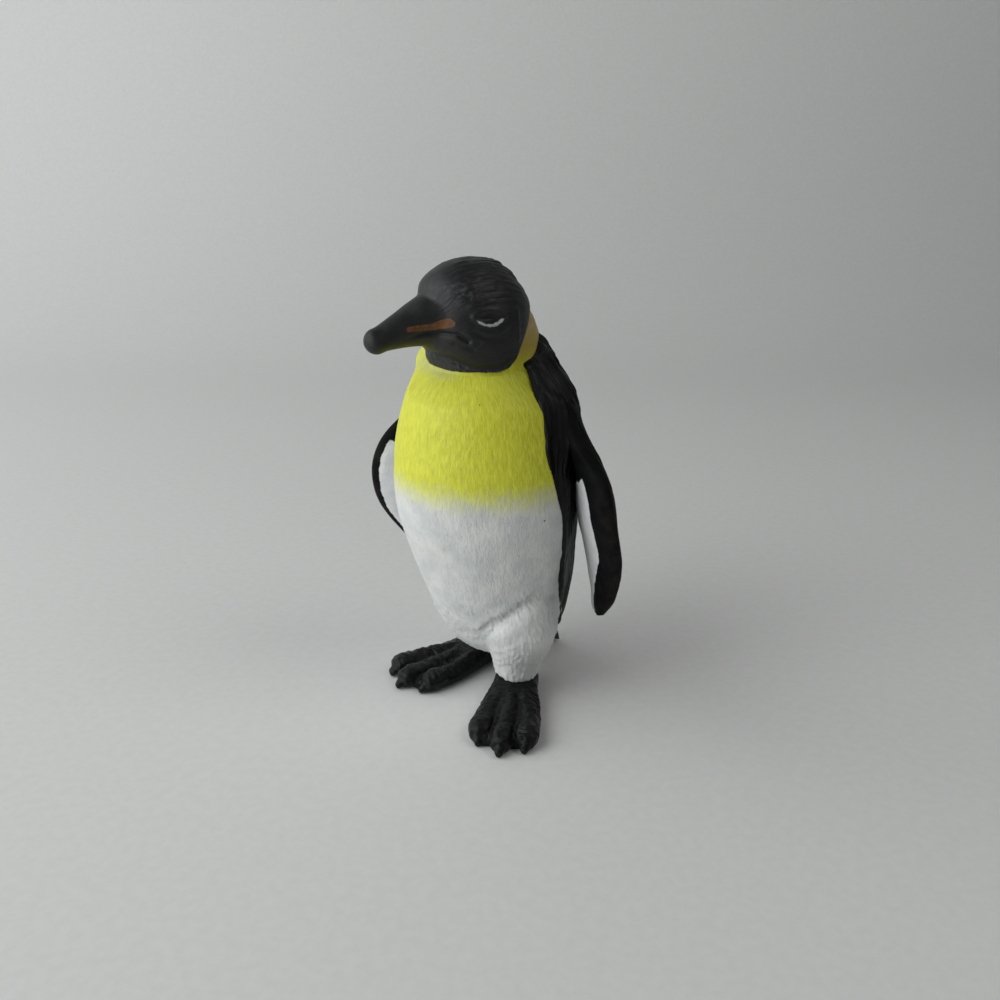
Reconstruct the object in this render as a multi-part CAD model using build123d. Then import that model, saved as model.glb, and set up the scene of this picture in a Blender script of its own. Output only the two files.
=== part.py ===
"""Standing penguin figurine of soft moulded plastic, in eight pieces that plug and glue together.

The white body carries everything else: a black mantle lies in a recess round its back, the head caps its neck,
the flippers plug into its shoulders, the feet into its legs and the tail into its rump.
+Z is up, the breast faces -Y and the bird's left side is +X. The origin is on the floor, under the middle of the
figurine's outline.
"""

import os
from math import cos, pi, sin

from build123d import *

# Body: belly, breast and neck as one egg-shaped column, sized at its fullest station
BODY_BOTTOM = 8.0
BODY_HEIGHT = 78.0
BODY_WIDTH = 39.4
BODY_DEPTH = 37.8
BODY_LEAN = 4.0
NECK_ASIDE = 1.1
# Each station: height, width, depth, lean forward and neck's shift to the right, as shares of those sizes
BODY_SHARES = (
    (0.000, 0.355, 0.344, -0.650, 0.00),
    (0.040, 0.569, 0.550, -0.580, 0.00),
    (0.100, 0.700, 0.688, -0.450, 0.00),
    (0.180, 0.777, 0.783, -0.150, 0.00),
    (0.280, 0.873, 0.873, 0.220, 0.00),
    (0.475, 0.995, 0.995, 0.850, 0.00),
    (0.665, 0.949, 0.963, 0.950, 0.00),
    (0.795, 0.792, 0.878, 0.750, 0.18),
    (0.846, 0.655, 0.772, 0.750, 0.55),
    (0.885, 0.569, 0.677, 0.850, 0.80),
    (0.950, 0.513, 0.580, 1.050, 1.00),
    (1.000, 0.430, 0.470, 1.200, 1.00),
)

# Legs: feathered cuffs that swell out of the belly and end over the ankles, the left one a stride ahead
ANKLE_SPREAD = 14.8
ANKLE_SHIFT = 0.6
STRIDE = 9.5
STRIDE_MIDDLE = 1.45
HIP_SPREAD = 20.8
HIP_STRIDE = 3.2
HIP_MIDDLE = -0.6
CUFF_HEIGHT = 5.4
HIP_HEIGHT = 28.0
THIGH_RADIUS = 7.8
THIGH_BULGE = 1.0
# Each station: share of the way from cuff to hip, radius share, share of the bulge to the front
LEG_SHARES = (
    (0.00, 0.667, 0.0),
    (0.16, 0.740, 0.2),
    (0.31, 0.885, 0.6),
    (0.48, 1.000, 1.0),
    (0.66, 0.974, 1.0),
    (0.83, 0.846, 0.8),
    (1.00, 0.577, 0.0),
)

# Mantle: the black cape, let into the body and standing proud of it, with broad feather strands down it
MANTLE_SEAT = 1.2
MANTLE_PROUD = 1.5
STRAND_DEPTH = 0.7
STRAND_COUNT = 14
# How far it stands proud: share of the body's height, share of MANTLE_PROUD
MANTLE_PROUD_SHARES = ((0.00, 0.30), (0.28, 0.55), (0.665, 0.70), (0.846, 0.95), (0.95, 0.90), (1.00, 0.45))
# Its front edge from the side, nape to rump: share of the body's depth behind the axis, share of its height
MANTLE_EDGE_SHARES = (
    (0.116, 0.990),
    (0.074, 0.949),
    (0.005, 0.910),
    (-0.122, 0.880),
    (-0.164, 0.869),
    (-0.164, 0.846),
    (-0.196, 0.791),
    (-0.230, 0.708),
    (-0.243, 0.638),
    (-0.228, 0.582),
    (-0.196, 0.535),
    (-0.146, 0.474),
    (-0.100, 0.387),
    (-0.034, 0.267),
    (0.095, 0.154),
    (0.222, 0.031),
)

# Head: the hood, turned to the bird's right, with its lower rim cut to a jaw line
HEAD_TURN = -24.0
HEAD_WIDTH = 22.8
HEAD_LENGTH = 24.0
HEAD_HEIGHT = 22.0
HEAD_ABOVE_BODY = 10.0
HEAD_FORWARD = 2.9
NECK_BACK = -3.8
# Each station: height, width and length as shares of the sizes above, forward place as a share of HEAD_FORWARD
HEAD_SHARES = (
    (0.000, 0.965, 0.842, 0.80),
    (0.073, 0.982, 0.883, 0.83),
    (0.164, 0.982, 0.933, 0.86),
    (0.273, 0.991, 0.983, 0.97),
    (0.455, 0.974, 1.000, 1.00),
    (0.636, 0.895, 0.942, 0.97),
    (0.795, 0.728, 0.783, 0.97),
    (0.909, 0.491, 0.550, 1.00),
    (0.980, 0.225, 0.260, 1.03),
    (1.000, 0.070, 0.080, 1.03),
)
HOOD_SEAT = 2.0
# Its lower edge from the side, chin to ear to nape: forward share of half the length, share of the height
HOOD_EDGE_SHARES = (
    (1.250, 0.073),
    (0.800, 0.060),
    (0.330, 0.045),
    (0.180, 0.041),
    (-0.200, 0.268),
    (-0.310, 0.520),
    (-0.450, 0.515),
    (-1.100, 0.500),
)
EYE_RADIUS = 2.6
EYE_DEPTH = 0.6
EYE_ANGLE = 77.0
EYE_HEIGHT_SHARE = 0.52

# Bill: a tapering, slightly drooping cone with a round tip
BILL_LENGTH = 11.5
BILL_ROOT_WIDTH = 17.2
BILL_ROOT_HEIGHT = 12.1
BILL_DROOP = 3.2
BILL_HEIGHT_SHARE = 0.466
BILL_OVERLAP = 8.9
# Each station: share of the way to the tip, width and height shares of the root, share of the droop
BILL_SHARES = (
    (0.000, 1.000, 1.000, 0.00),
    (0.147, 0.849, 0.959, -0.03),
    (0.294, 0.674, 0.876, -0.03),
    (0.441, 0.535, 0.744, 0.08),
    (0.637, 0.372, 0.529, 0.45),
    (0.784, 0.279, 0.413, 0.73),
    (0.902, 0.236, 0.339, 0.98),
)
BILL_TIP_SHARE = 0.895

# Flippers: long flat blades that hang from the shoulders and sweep out and back
FLIPPER_DROP = 52.8
FLIPPER_CHORD = 14.2
FLIPPER_THICKNESS = 5.2
FLIPPER_REACH = 12.6
FLIPPER_SWEEP = 7.7
RIGHT_FLIPPER_TUCK = 2.4
SHOULDER_HEIGHT_SHARE = 0.808
SHOULDER_OUT_SHARE = 0.834
SHOULDER_BACK = 5.2
# Each station: drop, outward, backward, chord and thickness as shares of the sizes above, the chord's turn,
# and the share of the tuck that draws the right flipper closer
FLIPPER_SHARES = (
    (0.000, 0.000, 0.000, 0.225, 0.346, 28.0, 0.50),
    (0.072, 0.190, 0.000, 0.760, 0.846, 36.0, 0.50),
    (0.170, 0.460, -0.040, 0.958, 1.000, 43.0, 0.50),
    (0.322, 0.794, -0.170, 0.986, 1.000, 50.0, 0.47),
    (0.521, 1.000, -0.195, 1.000, 0.960, 57.0, 0.00),
    (0.710, 1.000, 0.130, 0.944, 0.846, 59.0, 0.08),
    (0.848, 0.873, 0.520, 0.803, 0.730, 59.0, 0.61),
    (0.951, 0.738, 0.830, 0.592, 0.540, 59.0, 0.94),
    (1.000, 0.667, 1.000, 0.197, 0.190, 59.0, 1.00),
)
FLIPPER_PEG_RADIUS = 2.2
FLIPPER_PEG_LENGTH = 12.0
FLIPPER_PEG_DROP_SHARE = 0.28

# Feet: thick webbed wedges with three blunt, clawed toes each
FOOT_LENGTH = 22.2
FOOT_WIDTH = 14.4
FOOT_HEIGHT = 5.0
LEFT_FOOT_TURN = 24.0
RIGHT_FOOT_TURN = 17.0
# Each station of the web: share of the length ahead of the ankle, width share, height share
FOOT_SHARES = (
    (-0.210, 0.300, 0.50),
    (-0.050, 0.720, 1.00),
    (0.200, 0.780, 1.00),
    (0.480, 0.840, 0.80),
    (0.800, 0.850, 0.66),
    (0.970, 0.740, 0.50),
)
SOLE_SHARE = 0.3
TOE_ROOT_RADIUS = 2.1
TOE_TIP_RADIUS = 2.35
TOE_SINK = 0.4
TOE_START = 2.0
CLAW_LENGTH = 1.3
CLAW_ROOT_RADIUS = 1.3
CLAW_TIP_RADIUS = 0.6
CLAW_TIP_HEIGHT = 1.0
# Toes, inner to outer: sideways place of the tip as a share of half the width, reach as a share of the length
TOE_SHARES = ((-0.667, 1.009), (0.000, 1.153), (0.681, 1.063))
TOE_ROOT_SHARE = 0.35
ANKLE_STEP = 1.0
FOOT_PEG_RADIUS = 2.3
FOOT_PEG_LENGTH = 8.0

# Tail: a short stiff wedge whose end rests on the floor
TAIL_HEIGHT_SHARE = 0.075
TAIL_REACH = 8.6
TAIL_WIDTH = 11.0
TAIL_THICKNESS = 6.0
TAIL_END_WIDTH_SHARE = 0.72
TAIL_END_THICKNESS_SHARE = 0.30
TAIL_PEG_RADIUS = 1.8
TAIL_PEG_LENGTH = 9.0
TAIL_PEG_START_SHARE = 0.35

# Room for glue round every peg, and how far a cut runs past what it cuts
GLUE_GAP = 0.10
OVERRUN = 20.0
RING_POINTS = 12

BODY_TOP = BODY_BOTTOM + BODY_HEIGHT
CUFF_RADIUS = LEG_SHARES[0][1] * THIGH_RADIUS
SIDES = LEFT, RIGHT = 1, -1


def oval(half_x, half_y):
    """Filled oval: a closed curve through points at even angles."""
    angles = [2 * pi * i / RING_POINTS for i in range(RING_POINTS)]
    return make_face(Spline([(half_x * cos(a), half_y * sin(a)) for a in angles], periodic=True))


def rippled(half_x, half_y):
    """Filled oval with the cape's strands round it: a closed curve through ridges and grooves in turn."""
    points = []
    for i in range(2 * STRAND_COUNT):
        angle = pi * i / STRAND_COUNT
        lift = STRAND_DEPTH / 2 if i % 2 == 0 else -STRAND_DEPTH / 2
        points.append(((half_x + lift) * cos(angle), (half_y + lift) * sin(angle)))
    return make_face(Spline(points, periodic=True))


def between(stations, share):
    """The other columns of a table of stations at a share of its first column, straight between the rows."""
    for low, high in zip(stations, stations[1:]):
        if share <= high[0]:
            break
    part_way = (share - low[0]) / (high[0] - low[0])
    return [a + (b - a) * part_way for a, b in zip(low[1:], high[1:])]


def body_station(height_share):
    """Half width, half depth and the place of the body's axis at a share of its height."""
    width, depth, lean, aside = between(BODY_SHARES, height_share)
    return width * BODY_WIDTH / 2, depth * BODY_DEPTH / 2, -aside * NECK_ASIDE, -lean * BODY_LEAN


def body_column(grow):
    """The body's column with every ring grown by a distance; below zero it is the core under cape and hood."""
    rings = []
    for height, *_ in BODY_SHARES:
        half_width, half_depth, x, y = body_station(height)
        place = Pos(x, y, BODY_BOTTOM + height * BODY_HEIGHT)
        rings.append(place * oval(half_width + grow, half_depth + grow))
    return loft(rings)


def cape_column():
    """The cape's outside all round: the body's rings, standing proud and rippled with strands."""
    rings = []
    for height, *_ in BODY_SHARES:
        half_width, half_depth, x, y = body_station(height)
        proud = between(MANTLE_PROUD_SHARES, height)[0] * MANTLE_PROUD
        place = Pos(x, y, BODY_BOTTOM + height * BODY_HEIGHT)
        rings.append(place * rippled(half_width + proud, half_depth + proud))
    return loft(rings)


def ankle(side):
    """Floor place of one ankle: the left foot is ahead of the right by the stride."""
    return ANKLE_SHIFT + side * ANKLE_SPREAD / 2, STRIDE_MIDDLE - side * STRIDE / 2


def leg(side):
    """Feathered leg: a bulging column from the cuff over the ankle up and out into the belly."""
    ankle_x, ankle_y = ankle(side)
    hip_x, hip_y = side * HIP_SPREAD / 2, HIP_MIDDLE - side * HIP_STRIDE / 2
    rings = []
    for way, size, bulge in LEG_SHARES:
        x = ankle_x + (hip_x - ankle_x) * way
        y = ankle_y + (hip_y - ankle_y) * way - bulge * THIGH_BULGE
        z = CUFF_HEIGHT + (HIP_HEIGHT - CUFF_HEIGHT) * way
        rings.append(Pos(x, y, z) * oval(size * THIGH_RADIUS, size * THIGH_RADIUS))
    return loft(rings)


def mantle_region():
    """Everything behind the mantle's front edge: its side view carried right across the body."""
    points = [(back * BODY_DEPTH, BODY_BOTTOM + up * BODY_HEIGHT) for back, up in MANTLE_EDGE_SHARES]
    rear = BODY_DEPTH + OVERRUN
    front_edge = Spline(points)
    closing = Polyline(points[-1], (rear, points[-1][1]), (rear, points[0][1]), points[0])
    side_view = make_face(front_edge + closing)
    return extrude(Plane.YZ * side_view, amount=BODY_WIDTH, both=True)


def in_head(shape):
    """A shape of the head's own frame, with the bill along -Y, set on the neck and turned."""
    return Pos(0, NECK_BACK, BODY_TOP + HEAD_ABOVE_BODY - HEAD_HEIGHT) * Rot(0, 0, HEAD_TURN) * shape


def hood():
    """The head's round mass, chin to crown, in the head's frame with its lowest ring at zero height."""
    rings = []
    for height, width, length, forward in HEAD_SHARES:
        ring = oval(width * HEAD_WIDTH / 2, length * HEAD_LENGTH / 2)
        rings.append(Pos(0, -forward * HEAD_FORWARD, height * HEAD_HEIGHT) * ring)
    return loft(rings)


def bill():
    """Bill in the head's frame: rings square to its length that shrink and sink towards a ball at the tip."""
    root = HEAD_FORWARD + HEAD_LENGTH / 2 - BILL_OVERLAP
    reach = BILL_LENGTH + BILL_OVERLAP
    root_z = BILL_HEIGHT_SHARE * HEAD_HEIGHT
    rings = []
    for along, width, height, droop in BILL_SHARES:
        middle = (0, -root - along * reach, root_z - droop * BILL_DROOP)
        place = Plane(middle, x_dir=(1, 0, 0), z_dir=(0, -1, 0))
        rings.append(place * oval(width * BILL_ROOT_WIDTH / 2, height * BILL_ROOT_HEIGHT / 2))
    *_, droop = between(BILL_SHARES, BILL_TIP_SHARE)
    ball = Sphere(BILL_SHARES[-1][1] * BILL_ROOT_WIDTH / 2)
    return loft(rings) + Pos(0, -root - BILL_TIP_SHARE * reach, root_z - droop * BILL_DROOP) * ball


def hood_region():
    """Everything above the hood's lower edge: its side view carried right across the head."""
    points = [(-forward * HEAD_LENGTH / 2, up * HEAD_HEIGHT) for forward, up in HOOD_EDGE_SHARES]
    front, rear, top = -HEAD_LENGTH - OVERRUN, HEAD_LENGTH, HEAD_HEIGHT + OVERRUN
    side_view = make_face(Polyline(
        (front, points[0][1]), *points, (rear, points[-1][1]), (rear, top), (front, top), close=True,
    ))
    return extrude(Plane.YZ * side_view, amount=HEAD_WIDTH, both=True)


def eye_cut(side):
    """Shallow round hollow for one eye, pressed square into the side of the hood."""
    out = Vector(side * HEAD_WIDTH / 2, 0, 0).rotate(Axis.Z, side * (EYE_ANGLE - 90))
    centre_y = -HEAD_FORWARD
    reach = (out.length + EYE_RADIUS - EYE_DEPTH) / out.length
    place = out * reach + Vector(0, centre_y, EYE_HEIGHT_SHARE * HEAD_HEIGHT)
    return Pos(place.X, place.Y, place.Z) * Sphere(EYE_RADIUS)


def flipper_place(side, drop_share):
    """Middle of one flipper at a share of its drop: out from the shoulder, then sweeping back."""
    half_width, _, _, axis_y = body_station(SHOULDER_HEIGHT_SHARE)
    out, back, *_, tuck = between(FLIPPER_SHARES, drop_share)
    closer = tuck * RIGHT_FLIPPER_TUCK if side == RIGHT else 0
    return Vector(
        side * (half_width * SHOULDER_OUT_SHARE + out * FLIPPER_REACH - closer),
        axis_y + SHOULDER_BACK + back * FLIPPER_SWEEP,
        BODY_BOTTOM + SHOULDER_HEIGHT_SHARE * BODY_HEIGHT - drop_share * FLIPPER_DROP,
    )


def flipper_blade(side):
    """One flipper: level oval rings down a curve that leaves the shoulder, bows outwards and sweeps back."""
    rings = []
    for drop, _, _, chord, thickness, turn, _ in FLIPPER_SHARES:
        place = flipper_place(side, drop)
        ring = oval(thickness * FLIPPER_THICKNESS / 2, chord * FLIPPER_CHORD / 2)
        rings.append(Pos(place.X, place.Y, place.Z) * Rot(0, 0, side * turn) * ring)
    return loft(rings)


def flipper_peg(side, gap):
    """Level peg from the middle of the flipper into the shoulder, grown by the gap for its socket."""
    place = flipper_place(side, FLIPPER_PEG_DROP_SHARE)
    peg = Cylinder(
        FLIPPER_PEG_RADIUS + gap, FLIPPER_PEG_LENGTH + gap, align=(Align.CENTER, Align.CENTER, Align.MIN),
    )
    return Pos(place.X, place.Y, place.Z) * Rot(0, -side * 90, 0) * peg


def foot_shape():
    """One foot about its ankle, toes along -Y: a tapering web, three standing toes and a round instep."""
    rings = []
    for ahead, width, height in FOOT_SHARES:
        top = height * FOOT_HEIGHT
        place = Plane((0, -ahead * FOOT_LENGTH, SOLE_SHARE * top), x_dir=(1, 0, 0), z_dir=(0, -1, 0))
        rings.append(place * oval(width * FOOT_WIDTH / 2, (1 - SOLE_SHARE) * top))
    instep = Cylinder(CUFF_RADIUS - ANKLE_STEP, CUFF_HEIGHT, align=(Align.CENTER, Align.CENTER, Align.MIN))
    foot = loft(rings) + instep
    for place_share, reach_share in TOE_SHARES:
        foot += toe(place_share * FOOT_WIDTH / 2, reach_share * FOOT_LENGTH)
    return foot


def toe(x, reach):
    """One toe: a bar that fans out from the instep to a ball at its tip, with a blunt claw beyond."""
    root = Vector(x * TOE_ROOT_SHARE, -TOE_START, TOE_ROOT_RADIUS)
    tip = Vector(x, TOE_TIP_RADIUS - reach, TOE_TIP_RADIUS - TOE_SINK)
    way = tip - root
    bar = Cone(TOE_ROOT_RADIUS, TOE_TIP_RADIUS, way.length, align=(Align.CENTER, Align.CENTER, Align.MIN))
    claw_end = Vector(x, -reach - CLAW_LENGTH, CLAW_TIP_HEIGHT)
    claw = loft([
        Plane(tip, z_dir=claw_end - tip) * oval(CLAW_ROOT_RADIUS, CLAW_ROOT_RADIUS),
        Plane(claw_end, z_dir=claw_end - tip) * oval(CLAW_TIP_RADIUS, CLAW_TIP_RADIUS),
    ])
    return Plane(root, z_dir=way) * bar + Pos(tip.X, tip.Y, tip.Z) * Sphere(TOE_TIP_RADIUS) + claw


def foot_peg(gap):
    """Upright peg on the ankle, grown by the gap for its socket."""
    peg = Cylinder(FOOT_PEG_RADIUS + gap, FOOT_PEG_LENGTH + gap, align=(Align.CENTER, Align.CENTER, Align.MIN))
    return Pos(0, 0, CUFF_HEIGHT) * peg


def at_ankle(side, shape):
    """A foot shape set at one ankle, toes turned out."""
    x, y = ankle(side)
    turn = LEFT_FOOT_TURN if side == LEFT else RIGHT_FOOT_TURN
    return Pos(x, y, 0) * Rot(0, 0, side * turn) * shape


def tail_line():
    """Where the tail leaves the rump and where it ends on the floor."""
    _, half_depth, _, axis_y = body_station(TAIL_HEIGHT_SHARE)
    rump_y = axis_y + half_depth
    root = Vector(0, rump_y - MANTLE_SEAT, BODY_BOTTOM + TAIL_HEIGHT_SHARE * BODY_HEIGHT)
    end = Vector(0, rump_y + TAIL_REACH, 0)
    return root, end


def tail_blade():
    """Tail wedge: oval rings square to its line, thinner and narrower towards the floor."""
    root, end = tail_line()
    way = end - root
    return loft([
        Plane(root, x_dir=(1, 0, 0), z_dir=way) * oval(TAIL_WIDTH / 2, TAIL_THICKNESS / 2),
        Plane(end, x_dir=(1, 0, 0), z_dir=way)
        * oval(TAIL_WIDTH * TAIL_END_WIDTH_SHARE / 2, TAIL_THICKNESS * TAIL_END_THICKNESS_SHARE / 2),
    ])


def tail_peg(gap):
    """Peg along the tail's line into the rump, grown by the gap for its socket."""
    root, end = tail_line()
    outer_end = root + (end - root) * TAIL_PEG_START_SHARE
    peg = Cylinder(TAIL_PEG_RADIUS + gap, TAIL_PEG_LENGTH + gap, align=(Align.CENTER, Align.CENTER, Align.MIN))
    return Plane(outer_end, x_dir=(1, 0, 0), z_dir=root - end) * peg


def above_floor(shape):
    """The shape with everything below the floor cut off."""
    size = BODY_HEIGHT + OVERRUN
    return shape - Box(size, size, OVERRUN, align=(Align.CENTER, Align.CENTER, Align.MAX))


def build():
    """Every piece in place, by node name."""
    column, core, plug = (body_column(grow) for grow in (0, -MANTLE_SEAT, -HOOD_SEAT))
    cape, hood_space, legs = cape_column(), in_head(hood_region()), leg(LEFT) + leg(RIGHT)
    region = mantle_region() - hood_space
    mantle = (cape & region) - core - legs

    left_flipper, right_flipper = ((flipper_blade(side) - cape) + flipper_peg(side, 0) for side in SIDES)
    foot = above_floor(foot_shape()) + foot_peg(0)
    tail = above_floor(tail_blade() - cape) + tail_peg(0)

    body = (column + legs) - (region - core - legs) - (hood_space - plug)
    for side in SIDES:
        body -= flipper_peg(side, GLUE_GAP)
        mantle -= flipper_peg(side, GLUE_GAP)
        body -= at_ankle(side, foot_peg(GLUE_GAP))
    body -= tail_peg(GLUE_GAP)
    mantle -= tail_peg(GLUE_GAP)

    head = hood() + bill()
    for side in SIDES:
        head -= eye_cut(side)
    head = (in_head(head) & hood_space) - plug

    return {
        "body": body,
        "mantle": mantle,
        "head": head,
        "left_flipper": left_flipper,
        "right_flipper": right_flipper,
        "left_foot": at_ankle(LEFT, foot),
        "right_foot": at_ankle(RIGHT, foot),
        "tail": tail,
    }


def export(pieces):
    """One file per piece, moved so that the origin is under the middle of the whole outline."""
    middle = Compound(list(pieces.values())).bounding_box().center()
    os.makedirs("parts", exist_ok=True)
    for name, piece in pieces.items():
        export_step(Pos(-middle.X, -middle.Y, 0) * piece, os.path.join("parts", name + ".step"))


export(build())
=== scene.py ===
from math import pi, radians

import bpy
import numpy as np
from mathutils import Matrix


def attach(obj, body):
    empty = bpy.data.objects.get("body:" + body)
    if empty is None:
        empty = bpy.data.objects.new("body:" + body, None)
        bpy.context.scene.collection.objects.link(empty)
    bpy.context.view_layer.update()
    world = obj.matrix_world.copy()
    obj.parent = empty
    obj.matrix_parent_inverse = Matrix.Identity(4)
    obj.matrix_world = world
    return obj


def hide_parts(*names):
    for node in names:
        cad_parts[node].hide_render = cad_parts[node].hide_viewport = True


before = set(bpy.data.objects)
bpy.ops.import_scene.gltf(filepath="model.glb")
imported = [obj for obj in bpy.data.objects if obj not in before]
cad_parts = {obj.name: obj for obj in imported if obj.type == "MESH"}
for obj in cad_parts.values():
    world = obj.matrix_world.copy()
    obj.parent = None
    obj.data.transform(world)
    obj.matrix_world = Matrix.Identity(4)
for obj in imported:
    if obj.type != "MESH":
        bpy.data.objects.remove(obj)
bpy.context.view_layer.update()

# Body: the white moulding that carries everything: belly, breast, neck plug and both feathered legs in one.
# It is soft plastic cast with fine upright feather strokes, sprayed lemon on the breast and golden tan
# behind the cheeks. The frame's origin is under the outline's middle, and the bird's axis stands behind it.
MM = 0.001
BIRD_AXIS = np.array((0.08, 2.44, 0.0))
BODY_VOXEL = 0.37
BODY_EASING = 9
BODY_AROUND = 160
TRUNK_ROWS = 170
LEG_ROWS = 60
# Trunk stations: height, half width, half depth, x and y of the middle
TRUNK = np.array((
    (8.0, 7.0, 6.5, 0.0, 2.6),
    (11.0, 11.2, 10.4, 0.0, 2.3),
    (16.0, 13.8, 13.0, 0.0, 1.8),
    (22.0, 15.3, 14.8, 0.0, 0.6),
    (30.0, 17.2, 16.5, 0.0, -0.9),
    (45.0, 19.6, 18.8, 0.0, -3.4),
    (60.0, 18.7, 18.2, 0.0, -3.8),
    (70.0, 15.6, 16.6, -0.2, -3.0),
    (74.0, 12.9, 14.6, -0.6, -3.0),
    (77.0, 11.2, 12.8, -0.9, -3.4),
    (80.0, 10.5, 11.6, -1.0, -3.9),
    (84.0, 10.8, 11.2, -1.1, -4.6),
    (87.0, 9.4, 9.6, -1.1, -5.6),
    (89.0, 5.5, 6.0, -1.1, -5.2),
))
TRUNK_LOW, TRUNK_HIGH = TRUNK[0, 0], TRUNK[-1, 0]
# Mean radius, which turns an angle round the trunk into millimetres
TRUNK_RADIUS = 17
# Leg stations, left then right: height, x and y of the middle, radius
LEGS = (
    np.array((
        (4.8, 8.0, -3.3, 5.1), (8.5, 8.2, -3.3, 5.7), (12.0, 8.7, -3.5, 6.9), (16.0, 9.2, -3.7, 7.8),
        (20.0, 9.6, -3.6, 7.6), (24.0, 10.2, -3.0, 6.6), (28.0, 10.5, -2.2, 4.5),
    )),
    np.array((
        (4.8, -6.8, 6.2, 5.1), (8.5, -7.0, 5.8, 5.7), (12.0, -7.8, 5.0, 6.7), (16.0, -8.6, 4.0, 7.4),
        (20.0, -9.3, 3.0, 7.4), (24.0, -10.0, 2.0, 6.5), (28.0, -10.3, 1.0, 4.5),
    )),
)
# Cuffs of the legs: angle of each one's front, and how much higher its rear ends
CUFF_FRONTS = (radians(-57), radians(-123))
CUFF_SLANT = 3.0
# Feather strokes: width, length and mean share of a tuft, its height on the breast, what it has more on the
# legs, and the heights over which that fades out
STROKE_WIDTH = 0.95
STROKE_LENGTH = 2.4
TUFT_MEAN = 0.45
STROKE_HEIGHT = 0.05
LEG_STROKE_HEIGHT = 0.30
LEG_STROKE_FADE = (16, 30)
# Finer strokes between them: size each way and height; slow unevenness of the casting: size and height
FINE_STROKE = (0.65, 0.65, 1.5)
FINE_STROKE_HEIGHT = 0.05
UNEVEN_SIZE = 6
UNEVEN_HEIGHT = 0.12
# Fold between belly and left thigh: angle round the trunk, height. The right one mirrors it, further back
THIGH_FOLD = np.array((
    (-1.47, 15.5), (-1.14, 19.5), (-0.875, 22.4), (-0.69, 25.0), (-0.51, 26.9), (-0.32, 28.2),
))
RIGHT_FOLD_SET_BACK = 0.45
# Its groove, and its lips below and above: height, half spread, distance from the line
FOLD_GROOVE = (-0.50, 0.65)
FOLD_BELOW = (0.55, 1.6, 2.4)
FOLD_ABOVE = (0.30, 1.1, 1.5)
# How far tufts fray the line, and the tuft height that leaves it in place
FOLD_FRAY = 1.5
FOLD_FRAY_MEAN = 0.4
# Seat of the hood on the neck: middle, half width and half length, height of the rim, and how much higher
# the rim runs on the right, over which distances from the middle
SEAT_MIDDLE = np.array((-0.75, -5.4))
SEAT_SIZE = np.array((10.2, 9.3))
SEAT_HEIGHT = 74.2
SEAT_RIGHT_RISE = 2.6
SEAT_RIGHT_SPAN = (3.5, 8.5)
# Share by which the neck widens per millimetre below the rim, and where the seat ends behind
NECK_FLARE = 0.10
SEAT_REAR = (-6.0, -2.0)
# Fold of the neck that the turned head presses out: angle round the trunk, height, half spreads, depth
NECK_FOLD = (-2.65, 76.4, 0.26, 2.4, 1.9)
# Swelling of the neck behind each cheek, given alike, and how far under the cape it fades out
CHEEK_SWELLING = (0.66, 80.0, 0.3, 2.8, 1.1)
CHEEK_FADE = (0.0, 1.5)
# Recess that the cape lies in: height, how far behind the bird's axis its front edge runs, and how far
# the cape stands proud there
MANTLE_EDGE = np.array((
    (10.4, 8.4, 0.3),
    (20.0, 3.6, 0.6),
    (28.8, -1.3, 0.6),
    (38.2, -3.8, 0.1),
    (45.0, -5.5, 0.0),
    (49.7, -7.4, 0.1),
    (53.4, -8.6, 0.3),
    (57.8, -9.2, 0.8),
    (63.2, -8.7, 1.2),
    (69.7, -7.1, 1.6),
    (74.0, -5.0, 1.8),
    (75.8, -4.4, 2.0),
    (76.6, -2.5, 2.1),
    (77.4, 0.1, 2.2),
    (79.0, 2.2, 1.9),
    (82.0, 4.4, 0.8),
    (85.4, 5.6, 0.25),
))
CAPE_FOOT, CAPE_TOP = MANTLE_EDGE[0, 0], MANTLE_EDGE[-1, 0]
# The right edge is set back over these heights, and no edge passes this share of the half depth
MANTLE_RIGHT_SET_BACK = 3.0
MANTLE_RIGHT_SPAN = (52, 66)
MANTLE_EDGE_REACH = 0.98
# Depth of the recess, where its wall lies inland of the edge, and the heights over which it starts and ends
RECESS_DEPTH = 1.0
RECESS_WALL = (0.6, 1.4)
RECESS_FOOT = (28, 34)
RECESS_TOP = (82, 84.5)
# Hood that caps the neck: its turn, the place it turns about, and the share of it that the neck may fill,
# from these heights over its rim and these angles from the bill on
HEAD_TURN = radians(-24)
NECK_PIVOT = np.array((0.0, -3.8, 0.0))
HEAD_AXES = np.array(((np.cos(HEAD_TURN), np.sin(HEAD_TURN)), (np.sin(HEAD_TURN), -np.cos(HEAD_TURN))))
HOOD_INSIDE = 0.90
HOOD_INSIDE_OVER_RIM = (-0.6, 1.6)
HOOD_INSIDE_FROM_BILL = (46, 84)
# Hood stations: height, half width, half length, forward place
HOOD = np.array((
    (73.6, 10.8, 9.3, 1.7),
    (75.6, 11.0, 9.9, 1.9),
    (77.6, 11.1, 10.7, 2.1),
    (80.0, 11.3, 11.6, 2.6),
    (84.0, 11.1, 12.0, 2.9),
    (88.0, 10.3, 11.2, 2.7),
    (91.5, 8.6, 9.75, 3.65),
    (94.0, 5.9, 7.0, 3.3),
    (95.4, 3.2, 4.0, 3.2),
    (96.0, 0.3, 0.4, 3.2),
))
# Lower rim: angle from the bill, height
HOOD_RIM = np.array((
    (0.0, 74.6), (45.0, 74.4), (70.0, 74.5), (84.0, 74.6), (95.0, 75.0), (106.0, 76.6), (119.0, 79.9),
    (133.0, 83.0), (147.0, 85.6), (160.0, 86.2), (180.0, 85.4),
))
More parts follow.
